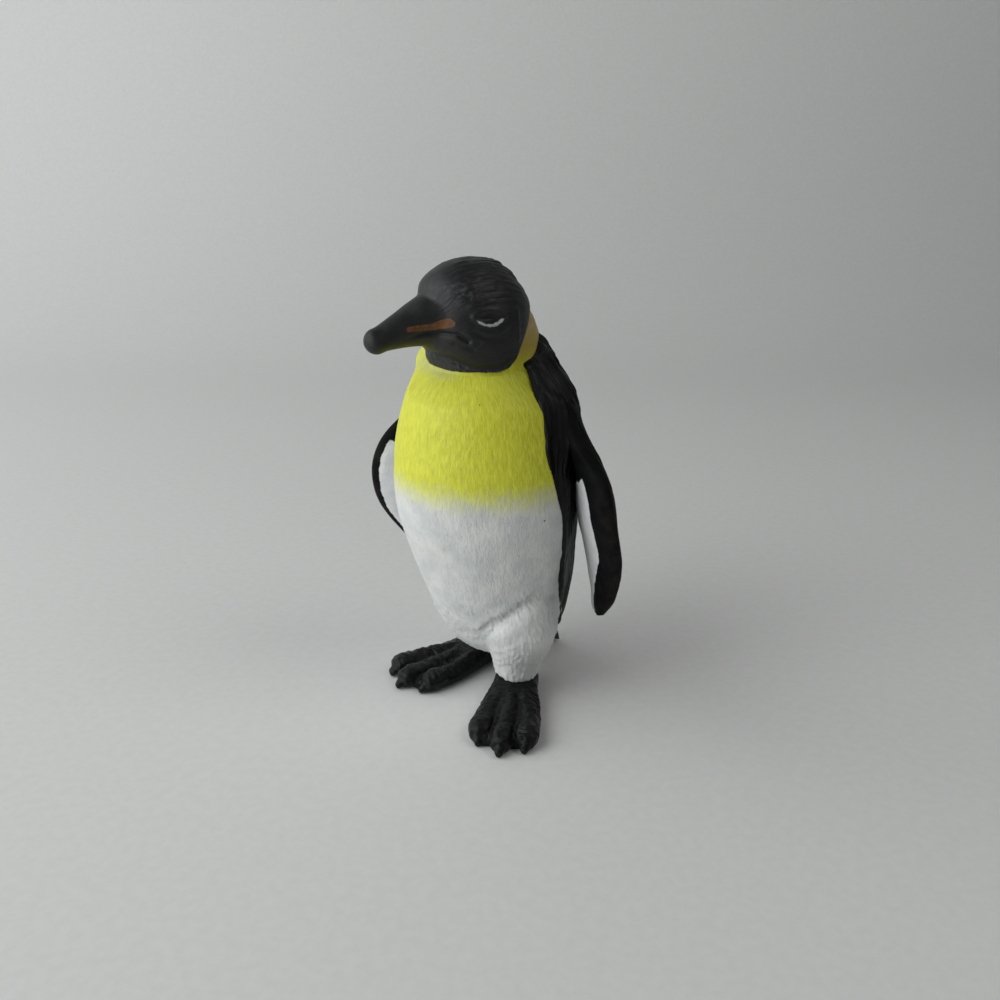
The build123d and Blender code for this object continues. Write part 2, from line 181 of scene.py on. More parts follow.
# Angle of the breast's front and its half spread, how far from it the ear patches start, and the half angle
# and radius of the black nape
FRONT_ANGLE = -2.0
FRONT_SPREAD = 0.75
EAR_FROM_FRONT = (1.5, 1.8)
NAPE_HALF_ANGLE = 0.85
NAPE_RADIUS = 11
# Colours that vary between two tones, then single ones
BELLY_WHITE = (0.66, 0.68, 0.68, 1), (0.79, 0.795, 0.775, 1)
BREAST_YELLOW = (0.64, 0.65, 0.033, 1), (0.79, 0.81, 0.066, 1)
EAR_TAN = (0.35, 0.245, 0.095, 1), (0.47, 0.335, 0.14, 1)
EAR_GOLD = (0.41, 0.31, 0.042, 1)
RIM_CREAM = (0.55, 0.55, 0.36, 1)
GROOVE_GREY = (0.30, 0.29, 0.24, 1)
NAPE_BLACK = (0.008, 0.008, 0.009, 1)
SPECK_BROWN = (0.05, 0.04, 0.03, 1)
# Heights over which a colour comes in: lemon, the cream rim under the hood, ear patch, its tan, nape
LEMON_SPAN = (46.5, 54.5)
RIM_SPAN = (72.2, 74.6)
EAR_SPAN = (73.5, 79.0)
TAN_SPAN = (77.5, 84.0)
NAPE_SPAN = (74.0, 76.0)
# Cells of the smooth noise before it repeats, and random draws for the strands
NOISE_CELLS = 32
STRAND_DRAWS = 997


def between(at, table):
    """Columns of a table at places along its first column, by cubics with slopes from the rows beside."""
    knots, values = table[:, 0], table[:, 1:]
    slopes = np.gradient(values, knots, axis=0)
    row = np.clip(np.searchsorted(knots, at) - 1, 0, len(knots) - 2)
    width = (knots[row + 1] - knots[row])[..., None]
    t = np.clip((np.asarray(at)[..., None] - knots[row][..., None]) / width, 0, 1)
    value = (
        values[row] * (2 * t**3 - 3 * t**2 + 1) + values[row + 1] * (3 * t**2 - 2 * t**3)
        + slopes[row] * width * (t**3 - 2 * t**2 + t) + slopes[row + 1] * width * (t**3 - t**2)
    )
    return np.moveaxis(value, -1, 0)


def rise(value, low, high):
    """Eased step: 0 up to low, 1 from high on."""
    t = np.clip((value - low) / (high - low), 0, 1)
    return t * t * (3 - 2 * t)


def fall(value, low, high):
    """Eased step down: 1 up to low, 0 from high on."""
    return 1 - rise(value, low, high)


def ridge(gap, height, spread, middle=0.0):
    """Rounded ridge: its height at the middle, falling off like a bell over a half spread to each side."""
    return height * np.exp(-(((gap - middle) / spread) ** 2))


def whole_turn(count):
    """Evenly spaced angles of one whole turn."""
    return np.linspace(0, 2 * pi, count, endpoint=False)


def wander(points, seed):
    """Smooth noise from -1 to 1: random heights at whole-number points of space, eased between them."""
    heights = np.random.default_rng(seed).uniform(-1, 1, (NOISE_CELLS,) * 3)
    cell = np.floor(points).astype(int)
    part = points - cell
    part = part * part * (3 - 2 * part)
    total = 0
    for corner in np.ndindex(2, 2, 2):
        i, j, k = np.moveaxis((cell + corner) % NOISE_CELLS, -1, 0)
        total = total + np.prod(np.where(corner, part, 1 - part), axis=-1) * heights[i, j, k]
    return total


def strands(across, along, seed):
    """Feather strands: rounded ridges, one per unit across, in tufts that swell and end in a short slope."""
    draws = np.random.default_rng(seed).uniform(0, 1, (2, STRAND_DRAWS))
    lane = np.floor(across).astype(int)
    spot = along + draws[0, lane % STRAND_DRAWS]
    tuft = np.floor(spot).astype(int)
    side, part = 2 * (across - lane) - 1, spot - tuft
    height = 0.4 + 0.6 * draws[1, (31 * lane + 17 * tuft) % STRAND_DRAWS]
    return height * np.sqrt(1 - side**2) * (0.35 + 0.65 * part * fall(part, 0.8, 1.0))


def trunk(angle, height, grow=0.0):
    """Trunk surface: an ellipse at each height, angle 0 at the bird's left and turning over the back."""
    half_width, half_depth, x, y = between(height, TRUNK)
    return np.stack((
        x + (half_width + grow) * np.cos(angle),
        y + (half_depth + grow) * np.sin(angle),
        height + 0 * angle,
    ), axis=-1)


def ring_walls(count, around):
    """Four-cornered faces between stacked rings of so many points, each ring closed on itself."""
    row, col = np.meshgrid(np.arange(count - 1), np.arange(around), indexing="ij")
    here, over = row * around + col, row * around + (col + 1) % around
    return np.stack((here, over, over + around, here + around), axis=-1).reshape(-1, 4).tolist()


def skin(rings):
    """Closed skin of stacked rings (ring, point, place), each end closed on the middle of its ring."""
    count, around, _ = rings.shape
    points = np.concatenate((rings.reshape(-1, 3), rings[:1].mean(axis=1), rings[-1:].mean(axis=1)))
    here = np.arange(around)
    over = (here + 1) % around
    top = (count - 1) * around
    first = np.stack((over, here, np.full(around, count * around)), axis=-1)
    last = np.stack((here + top, over + top, np.full(around, count * around + 1)), axis=-1)
    return points, ring_walls(count, around) + first.tolist() + last.tolist()


def new_mesh(name, points, faces):
    """A mesh of the given points and faces."""
    mesh = bpy.data.meshes.new(name)
    mesh.from_pydata(points, [], faces)
    return mesh


def fused(name, skins, voxel, easing):
    """One outer skin round several closed skins, in millimetres: equal voxels, then passes of smoothing."""
    points, faces, used = [], [], 0
    for skin_points, skin_faces in skins:
        points.append(skin_points)
        faces += [[i + used for i in face] for face in skin_faces]
        used += len(skin_points)
    rough = new_mesh(name + "_rough", np.concatenate(points), faces)
    holder = bpy.data.objects.new(name, rough)
    bpy.context.scene.collection.objects.link(holder)
    joiner = holder.modifiers.new("join", "REMESH")
    joiner.mode, joiner.voxel_size = "VOXEL", voxel
    softener = holder.modifiers.new("soften", "SMOOTH")
    softener.factor, softener.iterations = 0.5, easing
    bpy.context.view_layer.update()
    mesh = bpy.data.meshes.new_from_object(holder.evaluated_get(bpy.context.evaluated_depsgraph_get()))
    bpy.data.objects.remove(holder)
    bpy.data.meshes.remove(rough)
    return mesh


def places_and_normals(mesh):
    """Every point of a mesh and the way its surface faces there, as two arrays."""
    places, normals = np.empty((2, len(mesh.vertices), 3), np.float32)
    mesh.vertices.foreach_get("co", places.ravel())
    mesh.vertex_normals.foreach_get("vector", normals.ravel())
    return places.astype(float), normals.astype(float)


def set_piece(node, mesh, places, paint, slot, **marks):
    """Finish a piece: the bird's millimetres become the frame's metres, and its paint's marks are stored."""
    mesh.vertices.foreach_set("co", ((places + BIRD_AXIS) * MM).astype(np.float32).ravel())
    for mark, values in marks.items():
        layer = mesh.attributes.new(mark, "FLOAT", "POINT")
        layer.data.foreach_set("value", np.asarray(values, np.float32).ravel())
    mesh.shade_smooth()
    mesh.materials.clear()
    mesh.materials.append(paint)
    mesh.update()
    piece = bpy.data.objects.new(node + "_moulding", mesh)
    bpy.context.scene.collection.objects.link(piece)
    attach(piece, "root")
    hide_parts(node)


class Shade:
    """A socket of one paint's nodes. Sums and products of shades add Math nodes, so a paint is a formula."""

    def __init__(self, tree, socket):
        self.tree, self.socket = tree, socket

    def node(self, kind, settings, inputs, output=0):
        """Any node: its type, its settings first, then the values or links of its input sockets."""
        made = self.tree.nodes.new(kind)
        for name, value in settings.items():
            setattr(made, name, value)
        for key, value in inputs.items():
            if isinstance(value, Shade):
                self.tree.links.new(value.socket, made.inputs[key])
            else:
                made.inputs[key].default_value = value
        return Shade(self.tree, made.outputs[output])

    def math(self, operation, *values):
        """One sum, product or like step on values."""
        return self.node("ShaderNodeMath", {"operation": operation}, dict(enumerate(values)))

    def __add__(self, other):
        return self.math("ADD", self, other)

    def __sub__(self, other):
        return self.math("SUBTRACT", self, other)

    def __rsub__(self, other):
        return self.math("SUBTRACT", other, self)

    def __mul__(self, other):
        return self.math("MULTIPLY", self, other)

    __radd__, __rmul__ = __add__, __mul__

    def step(self, low, high):
        """Eased step: 0 up to low, 1 from high on."""
        return self.node(
            "ShaderNodeMapRange", {"interpolation_type": "SMOOTHSTEP"}, {"Value": self, 1: low, 2: high},
        )

    def mix(self, start, end):
        """Colour between two others, with this shade as the share of the second."""
        return self.node("ShaderNodeMix", {"data_type": "RGBA"}, {0: self, 6: start, 7: end}, output=2)

    def mark(self, name):
        """A value that the mesh stores at its points."""
        return self.node("ShaderNodeAttribute", {"attribute_name": name}, {}, output=2)

    def point(self, *parts):
        """A place made of up to three values."""
        return self.node("ShaderNodeCombineXYZ", {}, dict(enumerate(parts)))

    def noise(self, place, scale, detail=2.0, roughness=0.5):
        """Cloudy noise from about 0.2 to 0.8 at a place."""
        return self.node(
            "ShaderNodeTexNoise", {},
            {"Vector": place, "Scale": scale, "Detail": detail, "Roughness": roughness},
        )

    def spots(self, place, scale):
        """Distance from scattered points, in shares of their spacing."""
        return self.node("ShaderNodeTexVoronoi", {}, {"Vector": place, "Scale": scale, "Randomness": 1.0})

    def bump(self, height, distance, strength):
        """Surface direction dented by a height."""
        return self.node(
            "ShaderNodeBump", {}, {"Height": height, "Distance": distance, "Strength": strength},
        )


def new_paint(name):
    """A fresh paint: its material, its glossy shader and the place on the surface in millimetres."""
    material = bpy.data.materials.new(name)
    material.use_nodes = True
    tree = material.node_tree
    shader = tree.nodes["Principled BSDF"]
    start = Shade(tree, shader.outputs[0])
    place = start.node("ShaderNodeTexCoord", {}, {}, output=3)
    place = start.node("ShaderNodeVectorMath", {"operation": "SCALE"}, {0: place, "Scale": 1 / MM})
    return material, shader, place


def feed(shader, **sockets):
    """Link or set a shader's sockets: a name with spaces is written with underscores."""
    for name, value in sockets.items():
        socket = shader.inputs[name.replace("_", " ")]
        if isinstance(value, Shade):
            value.tree.links.new(value.socket, socket)
        else:
            socket.default_value = value


def body_skins():
    """The trunk and both legs as closed skins; a leg's cuff hangs lowest at its front."""
    angle = whole_turn(BODY_AROUND)
    height = np.linspace(TRUNK_LOW, TRUNK_HIGH, TRUNK_ROWS)[:, None]
    skins = [skin(trunk(angle[None], height))]
    for leg, front in zip(LEGS, CUFF_FRONTS):
        bottom = leg[0, 0] + CUFF_SLANT * (1 - np.cos(angle[None] - front)) / 2
        level = bottom + (leg[-1, 0] - bottom) * np.linspace(0, 1, LEG_ROWS)[:, None]
        x, y, radius = between(level, leg)
        rings = np.stack((x + radius * np.cos(angle), y + radius * np.sin(angle), level), axis=-1)
        skins.append(skin(rings))
    return skins


def line_gap(spots, path):
    """Distance of flat spots from a bent line, share of the way along it, and side: 1 above, -1 below."""
    start, step = path[:-1], np.diff(path, axis=0)
    away = spots[:, None] - start
    share = np.clip((away * step).sum(-1) / (step**2).sum(-1), 0, 1)
    away = away - share[..., None] * step
    gaps = np.linalg.norm(away, axis=-1)
    nearest = gaps.argmin(axis=1)
    picked = np.arange(len(gaps)), nearest
    return gaps[picked], (nearest + share[picked]) / len(step), np.sign(away[picked][:, 1])


def cape_span(height):
    """Angles at which the cape starts on the left and stops on the right: the trunk at its front edge."""
    _, half_depth, _, middle_y = between(height, TRUNK)
    edge_y, _ = between(height, MANTLE_EDGE)
    set_back = MANTLE_RIGHT_SET_BACK * rise(height, *MANTLE_RIGHT_SPAN)
    left, right = (
        np.arcsin(np.clip((edge - middle_y) / half_depth, -MANTLE_EDGE_REACH, MANTLE_EDGE_REACH))
        for edge in (edge_y, edge_y + set_back)
    )
    return left, pi - right, half_depth


def swelling(around, height, spot):
    """Round swelling of the trunk: angle and height of its middle, half spreads, depth."""
    angle, level, wide, tall, depth = spot
    return ridge(around, depth, wide, angle) * ridge(height, 1, tall, level)


def rim_height(from_bill):
    """Height of the hood's lower rim at an angle from the bill, in degrees."""
    return np.interp(from_bill, HOOD_RIM[:, 0], HOOD_RIM[:, 1])


def under_hood(places):
    """Neck drawn in ahead of the cape: no wider than the hood's seat above the rim, flaring out below it."""
    away = places[:, :2] - SEAT_MIDDLE
    turned = away @ HEAD_AXES
    reach = np.linalg.norm(turned / SEAT_SIZE, axis=1)
    seat = SEAT_HEIGHT + SEAT_RIGHT_RISE * rise(-turned[:, 0], *SEAT_RIGHT_SPAN)
    limit = 1 + NECK_FLARE * np.maximum(seat - places[:, 2], 0)
    shrink = np.minimum(1, limit / np.maximum(reach, 0.1)) - 1
    shrink = shrink * fall(places[:, 1], *SEAT_REAR)
    return np.concatenate((SEAT_MIDDLE + away * (1 + shrink[:, None]), places[:, 2:]), axis=1)


def within_hood(places):
    """Neck drawn in at the hood's sides and rear: above the rim it fills a share of the hood's oval."""
    half_width, half_length, middle = between(np.clip(places[:, 2], HOOD[0, 0], HOOD[-1, 0]), HOOD)
    left, forward = ((places - NECK_PIVOT)[:, :2] @ HEAD_AXES).T
    wide, deep = left / half_width, (forward - middle) / half_length
    from_bill = np.degrees(np.abs(np.arctan2(wide, deep)))
    inside = rise(places[:, 2] - rim_height(from_bill), *HOOD_INSIDE_OVER_RIM)
    inside = inside * rise(from_bill, *HOOD_INSIDE_FROM_BILL)
    excess = np.maximum(np.hypot(wide, deep) / HOOD_INSIDE, 1)
    shrink = 1 + (1 / excess - 1) * inside
    flat = np.stack((left * shrink, middle + (forward - middle) * shrink), axis=-1) @ HEAD_AXES
    return np.concatenate((flat + NECK_PIVOT[:2], places[:, 2:]), axis=1)


def body_paint():
    """White, a lemon breast that fades over the belly, tan ears, black nape, dull grooves, a few specks."""
    paint, shader, place = new_paint("body_paint")
    across, height, front = (place.mark(name) for name in ("across", "height", "front"))
    stroke = place.noise(place.point(across * 1.4, height * 0.42, 0), 1.0, 3.0, 0.6)
    fine = place.noise(place.point(across * 3.4, height * 0.9, 0), 1.0, 2.0)
    cloud = place.noise(place, 0.22, 3.0)
    blotch = cloud.step(0.3, 0.7)
    lemon = (height + (stroke - 0.5) * 4 + (cloud - 0.5) * 3).step(*LEMON_SPAN)
    colour = lemon.mix(blotch.mix(*BELLY_WHITE), stroke.step(0.25, 0.75).mix(*BREAST_YELLOW))
    pale_rim = height.step(*RIM_SPAN) * front.step(0.3, 0.9) * (0.45 + cloud * 0.8)
    colour = (pale_rim * 0.5).mix(colour, RIM_CREAM)
    ear = place.mark("ear") * height.step(*EAR_SPAN)
    colour = ear.mix(colour, height.step(*TAN_SPAN).mix(EAR_GOLD, blotch.mix(*EAR_TAN)))
    dull = 1 - place.mark("groove").step(0.0, 0.22)
    colour = (dull * 0.32).mix(colour, GROOVE_GREY)
    nape = (place.mark("nape") + (stroke - 0.5) * 2).step(-0.2, 0.2) * height.step(*NAPE_SPAN)
    colour = nape.mix(colour, NAPE_BLACK)
    specks = (1 - place.spots(place, 0.21).step(0.035, 0.06)) * place.noise(place, 0.9).step(0.5, 0.56)
    colour = (specks * 0.85).mix(colour, SPECK_BROWN)
    feed(
        shader, Base_Color=colour, Roughness=0.46 + (fine - 0.5) * 0.3 + dull * 0.15,
        Normal=place.bump(fine * 0.7 + stroke * 0.6, 0.0003, 0.55), Specular_IOR_Level=0.4,
    )
    return paint


mesh = fused("body", body_skins(), BODY_VOXEL, BODY_EASING)
places, normals = places_and_normals(mesh)
places = under_hood(places)
level = places[:, 2]
half_width, half_depth, middle_x, middle_y = between(np.clip(level, TRUNK_LOW, TRUNK_HIGH), TRUNK)
around = np.arctan2((places[:, 1] - middle_y) / half_depth, (places[:, 0] - middle_x) / half_width)
across = around * TRUNK_RADIUS
on_legs = fall(level, *LEG_STROKE_FADE)
tufts = strands(
    across / STROKE_WIDTH + 0.8 * wander(places / 3, 3),
    -level / STROKE_LENGTH + 0.4 * wander(places / 3, 4), 5,
)
relief = (tufts - TUFT_MEAN) * (STROKE_HEIGHT + LEG_STROKE_HEIGHT * on_legs)
relief += FINE_STROKE_HEIGHT * wander(places / FINE_STROKE, 6) * (1 + on_legs)
relief += UNEVEN_HEIGHT * wander(places / UNEVEN_SIZE, 7)
for mirror, set_back in ((around, 0.0), (np.angle(np.exp(1j * (pi - around))), RIGHT_FOLD_SET_BACK)):
    fold = (THIGH_FOLD + (set_back, 0)) * (TRUNK_RADIUS, 1)
    gap, share, over = line_gap(np.stack((mirror * TRUNK_RADIUS, level), axis=-1), fold)
    gap = gap + FOLD_FRAY * (tufts - FOLD_FRAY_MEAN)
    strength = rise(share, 0.0, 0.2) * (1 - 0.7 * rise(share, 0.75, 1.0))
    lips = np.where(over < 0, ridge(gap, *FOLD_BELOW), ridge(gap, *FOLD_ABOVE))
    relief += strength * (lips + ridge(gap, *FOLD_GROOVE))
relief += swelling(around, level, NECK_FOLD)
from_left = np.where(around < -pi / 2, around + 2 * pi, around)
start, stop, span_depth = cape_span(np.clip(level, CAPE_FOOT, CAPE_TOP))
inland = np.minimum(from_left - start, stop - from_left) * span_depth
for turned in (from_left, pi - from_left):
    relief += swelling(turned, level, CHEEK_SWELLING) * fall(inland, *CHEEK_FADE)
relief -= RECESS_DEPTH * rise(inland, *RECESS_WALL) * rise(level, *RECESS_FOOT) * fall(level, *RECESS_TOP)
places = within_hood(places + normals * relief[:, None])
from_front = np.abs(np.angle(np.exp(1j * (around - FRONT_ANGLE))))
set_piece(
    "body", mesh, places, body_paint(), "body_paint",
    across=across, height=places[:, 2], groove=tufts,
    front=ridge(around, 1, FRONT_SPREAD, FRONT_ANGLE), ear=rise(from_front, *EAR_FROM_FRONT),
    nape=(NAPE_HALF_ANGLE - np.abs(from_left - pi / 2)) * NAPE_RADIUS,
)


# Mantle: the black cape round the back, a thin moulding let into the body with a raised bead along its front
# edge. Long strands of feather run from the nape down over the shoulders, deepest at the top.
MANTLE_LINES = 380
MANTLE_INNER_LINES = 24
MANTLE_ROWS = 215
# Depths of the inner face and of the very edge under the trunk's surface, and heights where the ends thin
MANTLE_INNER_DEPTH = 1.4
MANTLE_EDGE_DEPTH = 0.5
MANTLE_FOOT_END = (CAPE_FOOT, 13.0)
MANTLE_TOP_END = (83.5, CAPE_TOP)
# Swelling of the cape over each shoulder: angle and height of its middle, half spreads, depth
SHOULDER = (0.20, 63.0, 0.35, 4.5, 0.6)
# Broad strands, narrow ones and hair lines: width, length, share of the relief; half spread of a hair's crest
BROAD_WIDTH, BROAD_LENGTH, BROAD_SHARE = 2.3, 11, 0.30
NARROW_WIDTH, NARROW_LENGTH, NARROW_SHARE = 1.05, 12, 0.55
HAIR_WIDTH, HAIR_LENGTH, HAIR_SHARE = 1.5, 11, 0.30
HAIR_SPREAD = 0.22
# Height of the strands, the heights between which they grow full and between which they fade at the nape
STRAND_HEIGHT = 1.4
STRAND_GROWTH = (30, 66)
STRAND_FADE = (78, 83)
# Wide locks under the strands: height and count in a whole turn
LOCK_HEIGHT = 0.35
LOCK_COUNT = 14
# Bead along the front edge: height, half spread, distance from the edge
BEAD = (0.35, 0.5, 0.8)
# Distances from the edge over which its lip stands up, the cape swells, strands start, and the ridges'
# wear and painted sheen show
LIP_SPAN = (0.0, 0.45)
PROUD_SPAN = (0.3, 4.5)
STRAND_SPAN = (0.1, 0.6)
WEAR_SHEEN_SPAN = (0.8, 3.0)
SATIN_BLACK = (0.005, 0.0052, 0.006, 1), (0.010, 0.010, 0.011, 1)
# Grey of the cape's ridge tops: wear, and a painted sheen where the strands would catch light
MANTLE_WORN_SHEEN = (0.07, 0.067, 0.062, 1)


def mantle_sheet(grow, share, height):
    """Cape surface: at each height the trunk's ellipse from the left edge over the back to the right one."""
    start, stop, half_depth = cape_span(height)
    angle = start + (stop - start) * share
    return trunk(angle, height, grow), angle, np.minimum(share, 1 - share) * (stop - start) * half_depth


def hairs(across, along, seed):
    """Wavy hair lines: crests where smooth noise, stretched along the flow, passes through zero."""
    return ridge(wander(np.stack((across, along, 0 * across), axis=-1), seed), 1, HAIR_SPREAD)


def black_paint(name, wear_sheen_colour, gloss=0.32, roughness=0.46, wear_and_sheen=0.4):
    """Satin black on feather relief, ridge tops greyed as wear and painted sheen, fine strokes along the
    flow.
    """
    paint, shader, place = new_paint(name)
    fine = place.noise(place.point(place.mark("across") * 2.6, place.mark("along") * 0.35, 0), 1.0, 3.0, 0.6)
    cloud = place.noise(place, 0.3, 3.0)
    # Ridge tops turn grey: partly wear, partly a painted sheen standing in for highlights
    worn_and_sheen = place.mark("groove").step(0.35, 1.0) * fine.step(0.4, 0.75) * cloud.step(0.3, 0.7)
    colour = (worn_and_sheen * wear_and_sheen).mix(cloud.step(0.3, 0.75).mix(*SATIN_BLACK), wear_sheen_colour)
    feed(
        shader, Base_Color=colour, Roughness=roughness + (fine - 0.5) * 0.3 + (cloud - 0.5) * 0.2,
        Normal=place.bump(fine, 0.00025, 0.45), Specular_IOR_Level=gloss,
    )
    return paint


share = np.linspace(0, 1, MANTLE_LINES)[None]
height = np.linspace(CAPE_FOOT, CAPE_TOP, MANTLE_ROWS)[:, None]
_, angle, inland = mantle_sheet(0.0, share, height)
_, proud = between(height, MANTLE_EDGE)
across = (angle - pi / 2) * TRUNK_RADIUS
flow = np.stack((across / 7, height / 12 + 0 * across, 0 * across), axis=-1)
sway = 0.8 * wander(flow, 11) + 0.25 * wander(flow * (2.5, 3, 1), 14)
broad = strands(across / BROAD_WIDTH + 0.6 * sway, -height / BROAD_LENGTH + 0.4 * wander(flow * 2, 12), 13)
narrow = strands(
    across / NARROW_WIDTH + 1.2 * sway, -height / NARROW_LENGTH + 0.4 * wander(flow * 3, 15), 16,
)
hair = hairs(across / HAIR_WIDTH + 1.2 * sway, -height / HAIR_LENGTH + 0 * across, 18)
tufts = BROAD_SHARE * broad + NARROW_SHARE * narrow + HAIR_SHARE * hair
fade = 1 - 0.85 * rise(height, *STRAND_FADE)
depth = STRAND_HEIGHT * (0.3 + 0.7 * rise(height, *STRAND_GROWTH)) * fade
locks = LOCK_HEIGHT * np.cos(LOCK_COUNT * angle) * fade
bead = (0.6 + 0.6 * wander(flow * 4, 17)) * ridge(inland, *BEAD)
relief = bead + (locks + depth * (tufts - TUFT_MEAN)) * rise(inland, *STRAND_SPAN)
lip = rise(inland + 0.35 * wander(flow * (3, 6, 1), 19), *LIP_SPAN)
swell = proud * (0.35 * lip + 0.65 * rise(inland, *PROUD_SPAN))
swell = swell + swelling(angle, height, SHOULDER) + swelling(pi - angle, height, SHOULDER)
thinning = rise(height, *MANTLE_FOOT_END) * fall(height, *MANTLE_TOP_END)
outer_grow = (swell + (MANTLE_EDGE_DEPTH + relief) * lip) * thinning - MANTLE_EDGE_DEPTH
outer, _, _ = mantle_sheet(outer_grow, share, height)
inner, _, _ = mantle_sheet(-MANTLE_INNER_DEPTH, np.linspace(1, 0, MANTLE_INNER_LINES)[None], height)
points = np.concatenate((outer, inner), axis=1).reshape(-1, 3)
count = MANTLE_LINES + MANTLE_INNER_LINES
first_ring = np.arange(count)
caps = [first_ring[::-1].tolist(), (first_ring + (MANTLE_ROWS - 1) * count).tolist()]
mesh = new_mesh("mantle", points, ring_walls(MANTLE_ROWS, count) + caps)
hidden = np.zeros((MANTLE_ROWS, MANTLE_INNER_LINES))
set_piece(
    "mantle", mesh, points, black_paint("mantle_paint", MANTLE_WORN_SHEEN, gloss=0.17, roughness=0.40, wear_and_sheen=0.8),
    "black_paint", across=np.concatenate((across, hidden), axis=1), along=np.repeat(height, count, axis=1),
    groove=np.concatenate((tufts * rise(inland, *WEAR_SHEEN_SPAN), hidden), axis=1),
)


# Head: a hollow cap moulded in one with the bill, glued over the neck plug and turned to the bird's right.
# Black satin paint with raked strokes on the crown, a ragged chin band, a closed eye with a white lash line
# and an orange stripe along the bill.
HEAD_VOXEL = 0.24
HEAD_EASING = 64
HEAD_AROUND = 240
HOOD_ROWS = 110
BILL_ROWS = 90
TIP_AROUND = 40
TIP_ROWS = 24
# Bill stations: forward place, height of the middle, half width, half height
BILL = np.array((
    (4.0, 84.2, 10.6, 6.2),
    (8.0, 84.3, 9.3, 5.9),
    (11.0, 84.4, 7.5, 5.6),
    (13.0, 84.4, 6.1, 5.2),
    (15.0, 84.25, 4.9, 4.75),
    (19.0, 83.2, 3.45, 3.65),
    (22.0, 82.3, 2.7, 3.0),
    (24.0, 81.6, 2.45, 2.55),
    (24.4, 81.45, 2.4, 2.5),
))
# Round tip of the bill: forward place, height, radius
BILL_TIP = (24.3, 81.4, 2.6)
# Lines on the side of the face: forward place, height
MOUTH = np.array((
    (23.5, 81.2), (19.0, 82.0), (16.0, 82.5), (12.9, 82.6), (11.2, 82.5), (10.2, 81.9), (9.4, 81.2),
))
GAPE_FOLD = np.array(((11.4, 80.6), (8.6, 79.8), (7.6, 80.8)))
UNDER_EYE = np.array(((8.4, 83.0), (6.6, 81.9), (3.6, 81.7), (1.4, 82.8)))
EYE_LID = np.array(((8.4, 86.0), (7.0, 86.8), (5.2, 87.0), (3.4, 86.7), (2.0, 85.8)))
EYE_LASH = np.array((
    (8.2, 85.5), (7.5, 84.85), (6.5, 84.4), (5.3, 84.2), (4.2, 84.35), (3.2, 84.8), (2.4, 85.4),
))
BILL_STRIPE = np.array(((18.9, 83.6), (15.1, 83.9), (12.2, 84.7)))
# Height and half spread of the mouth's groove, and of the groove or ridge along each other line
MOUTH_GROOVE = (-0.55, 0.42)
FACE_LINES = ((GAPE_FOLD, -0.30, 0.5), (UNDER_EYE, -0.20, 0.5), (EYE_LID, 0.25, 0.45), (EYE_LASH, 0.26, 0.45))
# Half widths of the painted lash line and of the stripe, with what the stripe has more at its rear
LASH_HALF = 0.31
STRIPE_HALF = 0.56
STRIPE_REAR = 0.28
# Hollow of the eye: forward place, height, half length, half height, depth
EYE = (5.3, 85.5, 1.8, 0.75, 0.75)
# Upright crease on the hood ahead of its rear edge: lowest and highest point, then height, half spread and
# forward place of its ridge
CREASE_LOW, CREASE_HIGH = 80.0, 87.5
CREASE_RIDGE = (0.2, 0.35, -1.2)
# Sides of the face, from these distances off the middle, and the hood's middle for angles from the bill
FACE_SIDE = (2.0, 4.0)
HOOD_MIDDLE = 2.5
# Strokes of the crown: height and radius of their fan, width, length and height of a tuft, where they show
CROWN_FAN_HEIGHT = 80
CROWN_RADIUS = 13
CROWN_WIDTH = 1.2
CROWN_LENGTH = 6
CROWN_HEIGHT = 0.42
CROWN_UP = (86, 91)
CROWN_FORWARD = (4, 11)
# Chin band: height over the rim at the sides, what it has more ahead and where, the groove over it, then the
# width in degrees, length and height of its tufts, and the places where it starts and ends
CHIN_BAND = 1.2
CHIN_BAND_AHEAD = 2.2
CHIN_BAND_SPAN = (7.0, 13.5)
CHIN_GROOVE = (-0.45, 0.7)
CHIN_WIDTH = 3.6
CHIN_LENGTH = 1.6
CHIN_HEIGHT = 0.32
CHIN_REAR = (-1.0, 2.0)
CHIN_AHEAD = (13.5, 15.5)
# Unevenness of the casting: size and height; scuff on the left brow: forward place, height, half sizes
HEAD_UNEVEN_SIZE = 2.2
HEAD_UNEVEN_HEIGHT = 0.06
BROW_SCUFF = (9.8, 90.0, 3.4, 2.4)
# Grey of the ridge tops on the head, flippers and tail: wear and a painted sheen
WORN_SHEEN_GREY = (0.05, 0.048, 0.045, 1)
SCUFF_GREY = (0.085, 0.085, 0.09, 1)
LASH_WHITE = (0.55, 0.55, 0.55, 1)
STRIPE_ORANGE = (0.09, 0.034, 0.007, 1), (0.17, 0.066, 0.012, 1)


def bill_tip():
    """Round tip of the bill: a ball as rings from pole to pole."""
    forward, height, radius = BILL_TIP
    angle = whole_turn(TIP_AROUND)[None]
    tilt = np.linspace(-pi / 2, pi / 2, TIP_ROWS)[1:-1, None]
    unit = np.stack((
        np.cos(tilt) * np.cos(angle), np.cos(tilt) * np.sin(angle), np.sin(tilt) + 0 * angle,
    ), axis=-1)
    return skin(np.array((0, forward, height)) + unit * radius)


